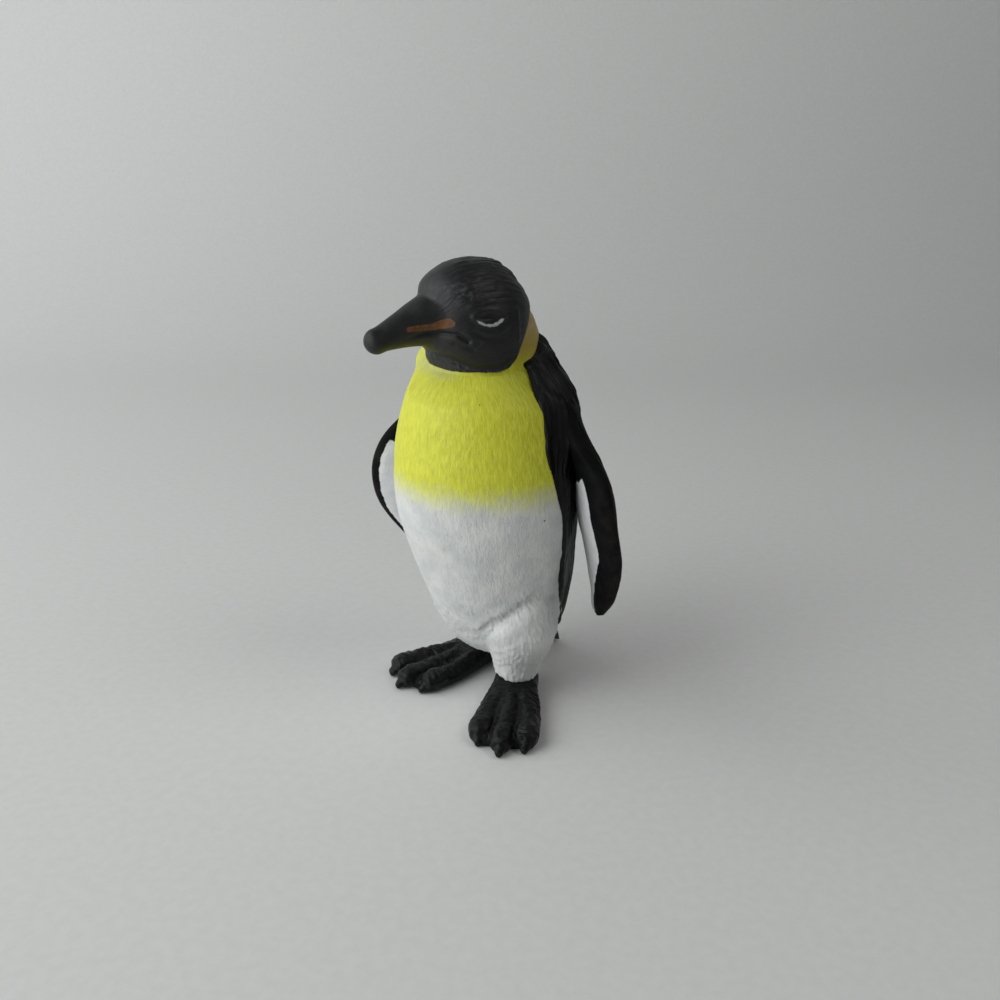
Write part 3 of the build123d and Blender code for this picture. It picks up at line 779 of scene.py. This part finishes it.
def head_skins():
    """Hood and bill (left, forward, up): rings over the slanting rim, and rings square to the bill."""
    angle = whole_turn(HEAD_AROUND)
    rim = rim_height(np.abs(np.degrees(np.angle(np.exp(1j * angle)))))
    height = rim + (HOOD[-1, 0] - rim) * np.linspace(0, 1, HOOD_ROWS)[:, None]
    half_width, half_length, forward = between(height, HOOD)
    hood = np.stack((half_width * np.sin(angle), forward + half_length * np.cos(angle), height), axis=-1)
    along = np.linspace(BILL[0, 0], BILL[-1, 0], BILL_ROWS)[:, None]
    middle, half_width, half_height = between(along, BILL)
    bill = np.stack((
        half_width * np.cos(angle), along + 0 * angle, middle + half_height * np.sin(angle),
    ), axis=-1)
    return [skin(hood[:, ::-1]), skin(bill[:, ::-1]), bill_tip()]


def undercoat(paint):
    """The shader of a paint and the colour that it has so far, ready to be painted over."""
    shader = paint.node_tree.nodes["Principled BSDF"]
    return shader, Shade(paint.node_tree, shader.inputs["Base Color"].links[0].from_socket)


def head_paint():
    """Black as the cape, scuffed, with the orange bill stripe and the white lash line brushed on by hand."""
    paint = black_paint("head_paint", WORN_SHEEN_GREY, gloss=0.45)
    shader, black = undercoat(paint)
    ragged = black.noise(black.node("ShaderNodeTexCoord", {}, {}, output=3), 900.0, 2.0)
    streak = black.point(black.mark("across") * 1.5, black.mark("along") * 0.7, 0)
    scuff = black.mark("scuff") * black.noise(streak, 1.0, 4.0, 0.7).step(0.42, 0.66)
    stripe = (black.mark("stripe") + (ragged - 0.5) * 0.35).step(-0.08, 0.10)
    lash = (black.mark("lash") + (ragged - 0.5) * 0.9).step(-0.10, 0.12)
    colour = (scuff * 0.75).mix(black, SCUFF_GREY)
    colour = stripe.mix(colour, ragged.step(0.3, 0.7).mix(*STRIPE_ORANGE))
    feed(shader, Base_Color=(lash * 0.75).mix(colour, LASH_WHITE))
    return paint


mesh = fused("head", head_skins(), HEAD_VOXEL, HEAD_EASING)
places, normals = places_and_normals(mesh)
left, forward, up = places.T
side = np.abs(left)
on_side = rise(side, *FACE_SIDE)
profile = np.stack((forward, up), axis=-1)
mouth, mouth_share, _ = line_gap(profile, MOUTH)
lash_gap, lash_share, _ = line_gap(profile, EYE_LASH)
stripe_gap, stripe_share, _ = line_gap(profile, BILL_STRIPE)
eye_forward, eye_height, eye_long, eye_tall, eye_depth = EYE
eye_gap = np.hypot((forward - eye_forward) / eye_long, (up - eye_height) / eye_tall)
crease = ridge(forward, *CREASE_RIDGE) * rise(up, CREASE_LOW, CREASE_LOW + 1)
crease = crease * fall(up, CREASE_HIGH - 1, CREASE_HIGH)
face = crease + ridge(mouth, *MOUTH_GROOVE) * rise(mouth_share, 0.12, 0.35)
for line, *form in FACE_LINES:
    face = face + ridge(line_gap(profile, line)[0], *form)
crown_across = np.arctan2(left, up - CROWN_FAN_HEIGHT) * CROWN_RADIUS
crown = strands(
    crown_across / CROWN_WIDTH + 0.5 * wander(places / 4, 21),
    -forward / CROWN_LENGTH + 0.3 * wander(places / 3, 22), 23,
)
crown_mask = rise(up, *CROWN_UP) * fall(forward, *CROWN_FORWARD)
chin_across = np.degrees(np.arctan2(left, forward)) / CHIN_WIDTH + up / 2 + 0.8 * wander(places / 2, 27)
chin_tufts = strands(chin_across, -up / CHIN_LENGTH + 0.3 * wander(places / 2, 24), 25)
over_rim = up - rim_height(np.degrees(np.arctan2(side, forward - HOOD_MIDDLE)))
over_band = over_rim - (CHIN_BAND + CHIN_BAND_AHEAD * rise(forward, *CHIN_BAND_SPAN))
on_chin = rise(forward, *CHIN_REAR) * fall(forward, *CHIN_AHEAD)
chin_mask = fall(over_band, -0.7, 0.1) * on_chin
relief = (
    face * on_side - ridge(eye_gap, eye_depth, 1)
    + CROWN_HEIGHT * (crown - 0.5) * crown_mask + CHIN_HEIGHT * (chin_tufts - TUFT_MEAN) * chin_mask
    + ridge(over_band, *CHIN_GROOVE) * on_chin + HEAD_UNEVEN_HEIGHT * wander(places / HEAD_UNEVEN_SIZE, 26)
)
stripe = STRIPE_HALF + STRIPE_REAR * rise(stripe_share, 0.35, 1.0) - stripe_gap
lash = LASH_HALF * (1 - (2 * lash_share - 1) ** 2) ** 0.5 - lash_gap
places = places + normals * relief[:, None]
left, forward, up = places.T
scuff_forward, scuff_height, scuff_long, scuff_tall = BROW_SCUFF
scuff = ridge(forward, 1, scuff_long, scuff_forward) * ridge(up, 1, scuff_tall, scuff_height) * (left > 0)
turned = np.concatenate((places[:, :2] @ HEAD_AXES, places[:, 2:]), axis=1) + NECK_PIVOT
set_piece(
    "head", mesh, turned, head_paint(), "black_paint", across=crown_across, along=forward,
    groove=crown * crown_mask + chin_tufts * chin_mask, scuff=scuff + 0.6 * chin_mask,
    stripe=np.where(on_side > 0.2, stripe, -1), lash=np.where(on_side > 0.5, lash, -1),
)


# Flippers: flat blades moulded on their own, plugged into the shoulders, bowed outwards and swept back.
# Black outside with lengthwise feather lines and a front edge worn brownish, partly a painted highlight where
# it catches light; the inner face is brushed white up to a ragged border.
FLIPPER_AROUND = 150
FLIPPER_ROWS = 230
FLIPPER_LENGTH = 50
# Left flipper: share of the length, then x, y, z of the middle, half chord, half thickness, chord's turn
FLIPPER = np.array((
    (0.00, 12.6, 2.2, 71.0, 1.6, 0.9, 20.0),
    (0.08, 15.0, 2.0, 67.2, 5.8, 2.6, 25.0),
    (0.18, 17.4, 1.7, 62.0, 7.0, 2.9, 33.0),
    (0.33, 22.9, -0.1, 54.0, 7.5, 3.0, 50.0),
    (0.52, 24.7, 0.2, 43.5, 7.8, 2.6, 57.0),
    (0.71, 25.1, 3.2, 33.5, 6.7, 2.2, 59.0),
    (0.85, 24.2, 5.9, 26.0, 5.0, 1.9, 59.0),
    (0.95, 22.8, 8.0, 20.4, 3.5, 1.3, 59.0),
    (1.00, 21.9, 9.2, 17.6, 1.3, 0.5, 59.0),
))
# Each flipper: side, seed, front border of the lining as a share of the half chord, how much further back
# that lies near the tip, and how far the blade is tucked in
FLIPPER_SETTINGS = {"left_flipper": (1, 31, -0.35, 0.8, 0.0), "right_flipper": (-1, 41, -0.76, 0.2, 2.4)}
# Share by which the rear edge is thinner, and how far it drops at the tip, per millimetre of chord
REAR_THINNING = 0.35
TIP_SLANT = 0.45
# Feather lines: width, count along the length, height, what the root has more, and the blade's unevenness
FLIPPER_LINE_WIDTH = 1.15
FLIPPER_LINE_COUNT = 4.5
FLIPPER_LINE_HEIGHT = 0.14
FLIPPER_ROOT_HEIGHT = 0.5
FLIPPER_ROOT_END = (0.2, 0.5)
FLIPPER_UNEVEN_HEIGHT = 0.10
# White lining: shares of the length where it starts and ends, and the mark of what lies off it
LINING_START, LINING_END = 0.36, 0.97
OFF_LINING = -1.5
# Brownish front edge: wear, and a painted highlight where the rounded edge catches light
WORN_SHEEN_BROWN = (0.024, 0.020, 0.017, 1)
LINING_WHITE = (0.70, 0.71, 0.735, 1), (0.80, 0.805, 0.80, 1)


def flipper_paint():
    """Satin black outside and round the edges, brushed white inside, front edge brownish: wear and painted
    highlight.
    """
    paint = black_paint("flipper_paint", WORN_SHEEN_GREY, gloss=0.04, roughness=0.52, wear_and_sheen=0.7)
    shader, black = undercoat(paint)
    ragged = black.noise(black.node("ShaderNodeTexCoord", {}, {}, output=3), 420.0, 4.0, 0.6)
    # Front edge turned brownish: wear together with a painted highlight
    worn_and_sheen = black.mark("leading") * ragged.step(0.35, 0.65)
    lining = (black.mark("lining") + (ragged - 0.5) * 1.1).step(-0.12, 0.12)
    colour = (worn_and_sheen * 0.6).mix(black, WORN_SHEEN_BROWN)
    feed(shader, Base_Color=lining.mix(colour, ragged.step(0.3, 0.7).mix(*LINING_WHITE)))
    return paint


def flipper(side, seed, border, narrowing, tuck):
    """Blade and its marks: rings down the arm's curve, each an oval with a thin rear edge, turned."""
    turn_round = whole_turn(FLIPPER_AROUND)[None]
    share = np.linspace(0, 1, FLIPPER_ROWS)[:, None]
    x, y, z, half_chord, half_thick, turn = between(share, FLIPPER)
    x = x - tuck * (0.5 * fall(share, 0.3, 0.5) + rise(share, 0.65, 1.0))
    chord, inward = -np.cos(turn_round), np.sin(turn_round)
    thin = half_thick * inward * (1 - REAR_THINNING * rise(chord, -0.2, 1.0))
    lane = chord * half_chord
    flow = np.stack((lane / 3, share * 7 + 0 * lane, 0 * lane + np.sign(thin)), axis=-1)
    tufts = strands(
        lane / FLIPPER_LINE_WIDTH + 0.8 * wander(flow, seed) + 40,
        share * FLIPPER_LINE_COUNT + 0.3 * wander(flow * 2, seed + 1), seed + 2,
    )
    outer_face, near_root = rise(-inward, 0.1, 0.5), fall(share, *FLIPPER_ROOT_END)
    swell = (tufts - 0.5) * (FLIPPER_LINE_HEIGHT + FLIPPER_ROOT_HEIGHT * near_root) * outer_face
    swell = swell + FLIPPER_UNEVEN_HEIGHT * wander(flow * 2.5, seed + 3)
    thin = thin - swell * rise(share, 0.0, 0.05)
    angle = np.radians(turn)
    places = np.stack((
        side * (x - lane * np.sin(angle) - thin * np.cos(angle)),
        y + lane * np.cos(angle) - thin * np.sin(angle),
        z - lane * TIP_SLANT * rise(share, 0.55, 1.0),
    ), axis=-1)
    border = border + narrowing * rise(share, 0.62, 0.97)
    lining = np.minimum((chord - border) * half_chord, (LINING_END - share) * 40)
    lining = np.minimum(lining, (share - LINING_START - 0.05 * chord) * 30)
    return places, {
        "across": lane, "along": share * FLIPPER_LENGTH + 0 * lane,
        "groove": tufts * outer_face * (0.4 + 0.6 * near_root),
        "lining": np.where(inward > -0.05, lining, OFF_LINING),
        "leading": rise(-chord, 0.55, 0.95) * rise(share, 0.25, 0.45),
    }


def with_poles(marks, value):
    """Marks of a ringed skin, with one value more for each of the two points that close its ends."""
    return {mark: np.append(values.ravel(), (value, value)) for mark, values in marks.items()}


paint = flipper_paint()
for name, (side, *settings) in FLIPPER_SETTINGS.items():
    places, marks = flipper(side, *settings)
    if side > 0:
        places, marks = places[:, ::-1], {mark: values[:, ::-1] for mark, values in marks.items()}
    points, faces = skin(places)
    mesh = new_mesh(name, points, faces)
    set_piece(name, mesh, points, paint, "flipper_paint", **with_poles(marks, OFF_LINING))


# Feet: thick webbed feet moulded in black plastic, each plugged into its leg cuff by an upright peg.
# Three blunt toes end in small claws; the skin on top is wrinkled across the toes.
FOOT_VOXEL = 0.22
FOOT_EASING = 5
FOOT_AROUND = 96
FOOT_ROWS = 90
TOE_AROUND = 48
TOE_ROWS = 60
# Each foot: side, turn, how much wider its outer half is, and its length as a share of the stations below
FOOT_SETTINGS = {"left_foot": (1, radians(24), 1.0, 1.0), "right_foot": (-1, radians(19.5), 1.15, 0.945)}
# Wedge stations: forward of the ankle, half width, height of the top; how square its rings are
FOOT = np.array((
    (-4.8, 1.6, 2.4), (-3.8, 3.2, 4.6), (-1.0, 4.6, 6.0), (2.5, 4.9, 5.9), (6.0, 5.5, 5.0),
    (11.0, 6.6, 4.0), (16.0, 7.2, 3.4), (19.5, 7.2, 3.1), (21.8, 6.8, 2.8), (23.0, 5.6, 2.2),
))
FOOT_SQUARENESS = 0.7
# Stem that goes up into the cuff: radius, lowest and highest point, rings
STEM_RADIUS = 4.5
STEM_HEIGHTS = (2.0, 10.0)
STEM_ROWS = 12
# Toes: sideways place of the tip and its reach from the ankle
TOES = ((-4.8, 22.4), (0.0, 25.6), (4.9, 23.6))
# Stations of a toe and of its claw: back from the reach, share of the tip's sideways place, height of the
# middle, half width, half height
TOE = np.array((
    (17.0, 0.5, 2.6, 1.7, 2.3), (12.0, 0.8, 2.3, 2.1, 2.3), (6.0, 1.0, 2.2, 2.3, 2.15),
    (3.2, 1.0, 2.3, 2.65, 2.3), (1.2, 1.0, 2.1, 2.3, 2.0), (0.3, 1.0, 1.9, 1.6, 1.5),
    (0.0, 1.0, 1.8, 0.8, 0.8),
))
CLAW = np.array((
    (2.0, 1.0, 1.9, 1.3, 1.2), (0.2, 1.0, 1.6, 1.15, 1.15), (-0.6, 1.0, 1.15, 0.95, 0.95),
    (-1.2, 1.0, 0.8, 0.6, 0.6),
))
# Wrinkles: size across, along and up, and height; puckers between them: size and height
WRINKLE = np.array((2.1, 0.8, 2.0))
WRINKLE_HEIGHT = 0.22
PUCKER_SIZE = 0.7
PUCKER_HEIGHT = 0.12
# Cleft beside each toe: depth as one, half spread, distance from the toe's line; how far out it may lie
CLEFT = (1.0, 0.5, 2.42)
CLEFT_REACH = 4.6
# Depths of the cleft on the web and at the toes' ends, with the stretches over which they come in
WEB_CLEFT, WEB_CLEFT_SPAN = 0.10, (3, 8)
END_CLEFT, END_CLEFT_SPAN = 0.4, (19, 23.5)
# Grey of the wrinkle crests: wear and a painted sheen
FOOT_WORN_SHEEN = (0.03, 0.029, 0.028, 1)


def toe_skin(stations, tip, reach):
    """Tube along one toe or claw: oval rings square to the foot's length."""
    stations = np.column_stack((reach - stations[:, 0], tip * stations[:, 1], stations[:, 2:]))
    angle = whole_turn(TOE_AROUND)[None]
    along = np.linspace(stations[0, 0], stations[-1, 0], TOE_ROWS)[:, None]
    sideways, middle, half_width, half_height = between(along, stations)
    return skin(np.stack((
        sideways + half_width * np.cos(angle), along + 0 * angle, middle + half_height * np.sin(angle),
    ), axis=-1)[:, ::-1])


def foot_skins():
    """One foot about its ankle (outward, forward, up): flat-soled wedge, stem, three toes and claws."""
    angle = whole_turn(FOOT_AROUND)[None]
    along = np.linspace(FOOT[0, 0], FOOT[-1, 0], FOOT_ROWS)[:, None]
    half_width, top = between(along, FOOT)
    circle = np.cos(angle), np.sin(angle)
    across, over = (np.sign(part) * np.abs(part) ** FOOT_SQUARENESS for part in circle)
    wedge = np.stack((half_width * across, along + 0 * angle, top * (0.5 + 0.5 * over)), axis=-1)
    level = np.linspace(*STEM_HEIGHTS, STEM_ROWS)[:, None]
    stem = np.stack([STEM_RADIUS * part + 0 * level for part in circle] + [level + 0 * angle], axis=-1)
    toes = [toe_skin(stations, tip, reach) for tip, reach in TOES for stations in (TOE, CLAW)]
    return [skin(wedge[:, ::-1]), skin(stem), *toes]


for (name, (side, turn, outer_width, length)), leg in zip(FOOT_SETTINGS.items(), LEGS):
    mesh = fused(name, foot_skins(), FOOT_VOXEL, FOOT_EASING)
    places, normals = places_and_normals(mesh)
    outward, forward, up = places.T
    bent = forward + 0.7 * wander(places / 3, 55 + side)
    wrinkle = 1 - 2 * np.abs(wander(np.stack((outward, bent, up), axis=-1) / WRINKLE, 51 + side))
    patches = 0.35 + 0.65 * rise(wander(places / 4.5, 57 + side), -0.2, 0.4)
    toe_gap = np.min([np.abs(outward - tip * rise(forward, -6, 16)) for tip, _ in TOES], axis=0)
    cleft = ridge(toe_gap, *CLEFT) * (np.abs(outward) < CLEFT_REACH)
    cleft = cleft * (WEB_CLEFT * rise(forward, *WEB_CLEFT_SPAN) + END_CLEFT * rise(forward, *END_CLEFT_SPAN))
    pucker = PUCKER_HEIGHT * wander(places / PUCKER_SIZE, 53 + side)
    on_top = rise(normals[:, 2], -0.2, 0.4) * rise(up, 0.6, 1.5)
    places = places + normals * (on_top * (WRINKLE_HEIGHT * wrinkle * patches + pucker - cleft))[:, None]
    outward, forward, up = places.T
    sideways = np.where(outward > 0, outward * outer_width, outward)
    reach = np.where(forward > 0, forward * length, forward)
    _, ankle_x, ankle_y, _ = leg[0]
    set_places = np.stack((
        ankle_x + side * (sideways * np.cos(turn) + reach * np.sin(turn)),
        ankle_y + sideways * np.sin(turn) - reach * np.cos(turn),
        np.maximum(up, 0.0),
    ), axis=-1)
    if side > 0:
        mesh.flip_normals()
    paint = black_paint(name + "_paint", FOOT_WORN_SHEEN, gloss=0.17, roughness=0.34)
    set_piece(
        name, mesh, set_places, paint, "foot_paint",
        across=forward, along=outward, groove=np.maximum(wrinkle, 0),
    )


# Tail: a short stiff wedge of feathers, moulded on its own and plugged into the rump, its end on the floor.
# Black like the cape, with deep lengthwise grooves.
TAIL_AROUND = 140
TAIL_ROWS = 120
TAIL_LENGTH = 20
# Stations: share of the length, then y and z of the middle, half width and half thickness
TAIL = np.array((
    (0.0, 11.0, 16.0, 5.2, 2.6),
    (0.3, 14.6, 11.0, 5.4, 2.9),
    (0.6, 18.2, 6.4, 5.1, 2.2),
    (0.85, 21.2, 2.6, 4.6, 1.3),
    (1.0, 22.9, 0.45, 4.0, 0.5),
))
# Backward and upward share of its thickness, which stands square to the slanting length
TAIL_BACK, TAIL_UP = 0.78, 0.62
# Feather grooves: width, count along the length, height
TAIL_LINE_WIDTH = 1.3
TAIL_LINE_COUNT = 2.2
TAIL_LINE_HEIGHT = 0.55

turn_round = whole_turn(TAIL_AROUND)[None]
share = np.linspace(0, 1, TAIL_ROWS)[:, None]
y, z, half_width, half_thick = between(share, TAIL)
lane = half_width * np.cos(turn_round)
tufts = strands(lane / TAIL_LINE_WIDTH + 40, share * TAIL_LINE_COUNT + 0 * lane, 61)
thick = np.sin(turn_round) * (half_thick + TAIL_LINE_HEIGHT * (tufts - 0.5) * rise(share, 0.1, 0.3))
places = np.stack((lane, y + TAIL_BACK * thick, np.maximum(z + TAIL_UP * thick, 0.0)), axis=-1)
points, faces = skin(places)
marks = {"across": lane, "along": share * TAIL_LENGTH + 0 * lane, "groove": tufts}
set_piece(
    "tail", new_mesh("tail", points, faces), points, black_paint("tail_paint", WORN_SHEEN_GREY), "black_paint",
    **with_poles(marks, 0.0),
)


# Studio: a plain pale floor that curves up into a backdrop, and the camera at the photograph's angle.
# A broad soft lamp stands at the camera's left, a smaller one behind it, a weak one over the left shoulder.
CAMERA_PLACE = (0.1126, -0.1689, 0.118)
CAMERA_PITCH = radians(20)
CAMERA_TURN = radians(33)
CAMERA_LENS = CAMERA_SENSOR = 36.0
CAMERA_NEAR = 0.005
# Floor and backdrop in metres: length of the profile, start and length of its bend as shares of that, reach
# before the bird, half width, steps
COVE_LENGTH = 1.6
COVE_BEND_START, COVE_BEND = 0.45, 0.2
COVE_FRONT = 0.42
COVE_HALF_WIDTH = 1.2
COVE_STEPS = 60
COVE_GREY = (0.77, 0.775, 0.76, 1), (0.81, 0.815, 0.80, 1)
# Lamps: name, place, size in metres, power in watts, colour; and the place that all are aimed at
LAMPS = (
    ("window", (-0.43, -0.36, 0.38), 0.85, 3.3, (0.98, 1.0, 1.0)),
    ("front", (-0.17, -0.52, 0.27), 0.5, 1.05, (0.98, 1.0, 1.0)),
    ("fill", (0.32, 0.06, 0.44), 0.25, 0.35, (1.0, 0.98, 0.95)),
)
LAMP_AIM = np.array((0, 0, 0.045))
SKY = {"Color": (0.92, 0.95, 1.0, 1), "Strength": 0.10}


def soft_light(name, place, size, power, colour):
    """Square area lamp aimed at the bird's middle."""
    lamp = bpy.data.lights.new(name, "AREA")
    lamp.shape, lamp.size, lamp.energy, lamp.color = "SQUARE", size, power, colour
    holder = bpy.data.objects.new(name, lamp)
    bpy.context.scene.collection.objects.link(holder)
    holder.location = place
    aim = LAMP_AIM - np.array(place)
    holder.rotation_euler = (np.arctan2(np.hypot(*aim[:2]), -aim[2]), 0, np.arctan2(aim[0], -aim[1]) + pi)


def cove():
    """Floor strip that turns up into the backdrop: steps along a profile that steepens through the bend."""
    run = np.linspace(0, 1, COVE_STEPS)
    bend = np.clip((run - COVE_BEND_START) / COVE_BEND, 0, 1) * pi / 2
    step = np.stack((np.cos(bend), np.sin(bend)), axis=-1)[:-1] * np.diff(run)[:, None]
    forward, up = np.concatenate(((np.zeros(2),), np.cumsum(step, axis=0))).T * COVE_LENGTH
    deep = np.array((-np.sin(CAMERA_TURN), np.cos(CAMERA_TURN)))
    wide = np.array((deep[1], -deep[0])) * COVE_HALF_WIDTH
    flat = (forward[:, None, None] - COVE_FRONT) * deep + np.array((-1, 1))[None, :, None] * wide
    places = np.concatenate((flat, np.broadcast_to(up[:, None, None], (COVE_STEPS, 2, 1))), axis=-1)
    line = np.arange(COVE_STEPS - 1) * 2
    faces = np.stack((line, line + 1, line + 3, line + 2), axis=-1).tolist()
    return new_mesh("studio_floor", places.reshape(-1, 3), faces)


mesh = cove()
mesh.shade_smooth()
floor_paint, shader, place = new_paint("floor_paint")
feed(shader, Base_Color=place.noise(place, 0.5, 3.0).step(0.2, 0.8).mix(*COVE_GREY), Roughness=0.6)
mesh.materials.append(floor_paint)
floor = bpy.data.objects.new("studio_floor", mesh)
bpy.context.scene.collection.objects.link(floor)

for lamp in LAMPS:
    soft_light(*lamp)
world = bpy.data.worlds.new("studio")
world.use_nodes = True
feed(world.node_tree.nodes["Background"], **SKY)
bpy.context.scene.world = world
bpy.context.scene.view_settings.view_transform = "Standard"

camera = bpy.data.objects.new("camera", bpy.data.cameras.new("camera"))
camera.data.lens, camera.data.sensor_width = CAMERA_LENS, CAMERA_SENSOR
camera.data.clip_start = CAMERA_NEAR
camera.location = CAMERA_PLACE
camera.rotation_euler = (pi / 2 - CAMERA_PITCH, 0, CAMERA_TURN)
bpy.context.scene.collection.objects.link(camera)
bpy.context.scene.camera = camera
